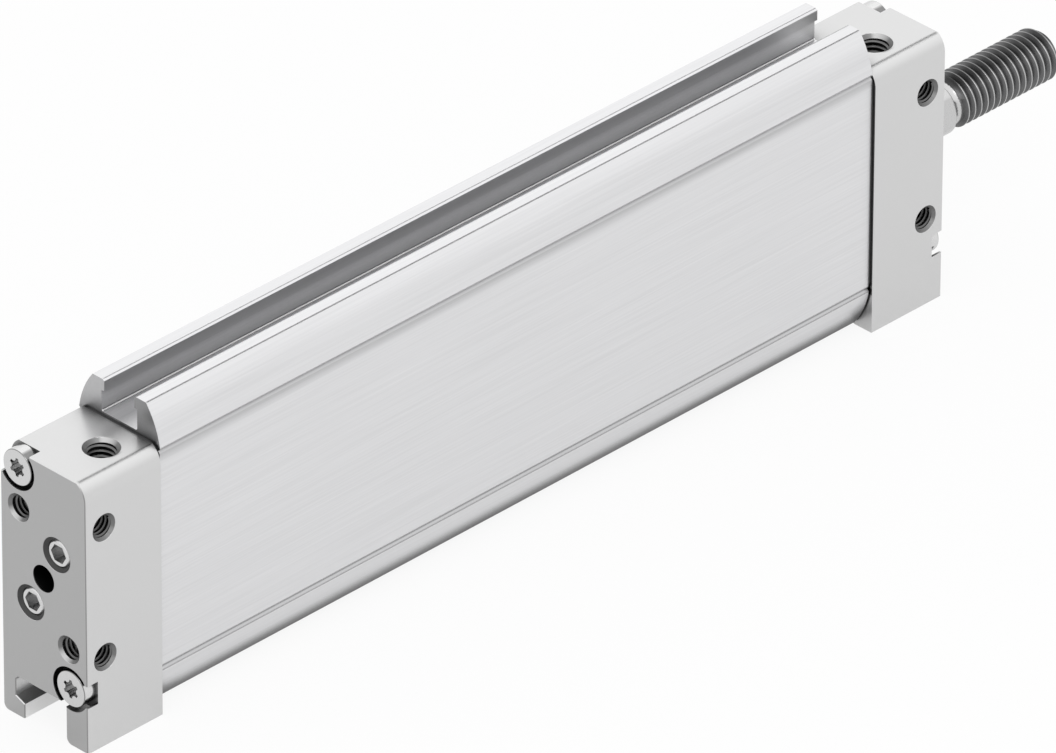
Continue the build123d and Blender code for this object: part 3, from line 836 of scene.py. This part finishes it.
# %% Wind the threads
CAP_TOP = 17.8
WIDE_FACE = -8.0
M5_CORE, M5_PITCH, PORT_LEAD = 2.1, 0.8, 0.5
M4_CORE, M4_PITCH, MOUNT_LEAD = 1.65, 0.7, 0.4
PORT_X, PORT_Y = 8.35, -2.5
END_MOUNT_Y, END_MOUNT_Z = 4.6, 9.0
SIDE_MOUNT_X, SIDE_MOUNT_Z = 3.4, 10.1
PLUG_Y, PLUG_Z = -2.52, 4.84
PORT_DEPTH, END_DEPTH, SIDE_DEPTH = 7.0, 6.5, 4.4
PORT_FIRST, MOUNT_FIRST = 0.45, 0.35  # where the first crest starts, below the mouth
for end, outer, inward in (("rear", 0.0, 1), ("front", FRONT_FACE, -1)):
    outwards, upwards, sideways = (-inward, 0, 0), (0, 0, 1), (0, -1, 0)
    port = (outer + PORT_X * inward, PORT_Y, CAP_TOP)
    wind_thread(f"{end}_port_thread", port, upwards, M5_CORE, M5_PITCH, PORT_DEPTH, PORT_FIRST)
    line_mouth(f"{end}_port_chamfer", port, upwards, M5_CORE, PORT_LEAD, chamfer_aluminium)
    for place, way in (("upper", 1), ("lower", -1)):
        on_end = (outer, END_MOUNT_Y * way, END_MOUNT_Z * way)
        on_side = (outer + SIDE_MOUNT_X * inward, WIDE_FACE, SIDE_MOUNT_Z * way)
        wind_thread(f"{end}_end_thread_{place}", on_end, outwards, M4_CORE, M4_PITCH, END_DEPTH, MOUNT_FIRST)
        wind_thread(
            f"{end}_side_thread_{place}", on_side, sideways, M4_CORE, M4_PITCH, SIDE_DEPTH, MOUNT_FIRST
        )
        line_mouth(f"{end}_end_chamfer_{place}", on_end, outwards, M4_CORE, MOUNT_LEAD, chamfer_aluminium)
        line_mouth(f"{end}_side_chamfer_{place}", on_side, sideways, M4_CORE, MOUNT_LEAD, chamfer_aluminium)
for place, way in (("upper", 1), ("lower", -1)):
    plugged = (0, PLUG_Y * way, PLUG_Z * way)
    # A dark ring of painted shade on the chamfer of each plugged port.
    line_mouth(f"plug_chamfer_shade_{place}", plugged, (-1, 0, 0), M5_CORE, PORT_LEAD, thread_sealant)

# %% [markdown]
# ## Floor, light and background
#
# The photograph has a plain white background. The floor is pale, and part of what the camera sees
# of it is its own white, so it stays near white and still keeps the soft shadow. The same share
# shows in the metal's reflections. A wide, soft sky lights the object evenly, brighter from above,
# and one soft lamp from the right gives the shadow.

# %% Lay the floor
floor_material, tree, shader = new_material("floor_paper")
shader.inputs["Base Color"].default_value = (0.68, 0.68, 0.68, 1)
shader.inputs["Roughness"].default_value = 0.9
shader.inputs["Specular IOR Level"].default_value = 0.1
white = add_node(tree, "ShaderNodeEmission", {"Color": (1, 1, 1, 1), "Strength": 1.0})
ray = add_node(tree, "ShaderNodeLightPath")
seen = add_node(tree, "ShaderNodeMath", {1: 0.9}, operation="MULTIPLY")
glossy = add_node(tree, "ShaderNodeMath", {1: 0.5}, operation="MULTIPLY_ADD")
clear = add_node(tree, "ShaderNodeMath", {1: 0.5}, operation="MULTIPLY_ADD")
blend = add_node(tree, "ShaderNodeMixShader")
tree.links.new(ray.outputs["Is Camera Ray"], seen.inputs[0])
tree.links.new(ray.outputs["Is Glossy Ray"], glossy.inputs[0])
tree.links.new(seen.outputs[0], glossy.inputs[2])
tree.links.new(ray.outputs["Is Transmission Ray"], clear.inputs[0])
tree.links.new(glossy.outputs[0], clear.inputs[2])
tree.links.new(clear.outputs[0], blend.inputs[0])
tree.links.new(shader.outputs[0], blend.inputs[1])
tree.links.new(white.outputs[0], blend.inputs[2])
tree.links.new(blend.outputs[0], tree.nodes["Material Output"].inputs["Surface"])

FLOOR_SIZE = 6.0
bm = bmesh.new()
bmesh.ops.create_grid(bm, x_segments=1, y_segments=1, size=FLOOR_SIZE / 2)
bmesh.ops.translate(bm, vec=(0, 0, cad_box[0].z), verts=bm.verts)
floor_mesh = bpy.data.meshes.new("floor")
bm.to_mesh(floor_mesh)
bm.free()
floor = bpy.data.objects.new("floor", floor_mesh)
floor.data.materials.append(floor_material)
bpy.context.scene.collection.objects.link(floor)
print("the floor lies at", round(cad_box[0].z / MM, 2), "mm")

# %% Light the sky
sky = bpy.data.worlds.new("sky")
sky.use_nodes = True
tree = sky.node_tree
bpy.context.scene.world = sky
heading = add_node(tree, "ShaderNodeTexCoord")
height = add_node(tree, "ShaderNodeSeparateXYZ")
brightness = add_node(
    tree, "ShaderNodeMapRange", {"From Min": 0.0, "From Max": 0.6, "To Min": 0.9, "To Max": 1.22}
)
dome = tree.nodes["Background"]
backdrop = add_node(tree, "ShaderNodeBackground", {"Color": (1, 1, 1, 1), "Strength": 1.0})
ray = add_node(tree, "ShaderNodeLightPath")
choose = add_node(tree, "ShaderNodeMixShader")
tree.links.new(heading.outputs["Generated"], height.inputs[0])
tree.links.new(height.outputs["Z"], brightness.inputs["Value"])
tree.links.new(brightness.outputs["Result"], dome.inputs["Strength"])
dome.inputs["Color"].default_value = (1, 1, 1, 1)
tree.links.new(ray.outputs["Is Camera Ray"], choose.inputs[0])
tree.links.new(dome.outputs[0], choose.inputs[1])
tree.links.new(backdrop.outputs[0], choose.inputs[2])
tree.links.new(choose.outputs[0], tree.nodes["World Output"].inputs["Surface"])


# %% Hang the lamps
def softbox(name, place, size, power):
    """Hang a square lamp that faces the middle of the cylinder."""
    light = bpy.data.lights.new(name, "AREA")
    light.size = size
    light.energy = power
    lamp = bpy.data.objects.new(name, light)
    lamp.location = place
    target = (cad_box[0] + cad_box[1]) / 2
    lamp.rotation_euler = (Vector(place) - target).to_track_quat("Z", "Y").to_euler()
    bpy.context.scene.collection.objects.link(lamp)
    return lamp


softbox("key", (-0.5, -0.9, 1.5), 0.9, 8)
bpy.context.scene.view_settings.view_transform = "Standard"
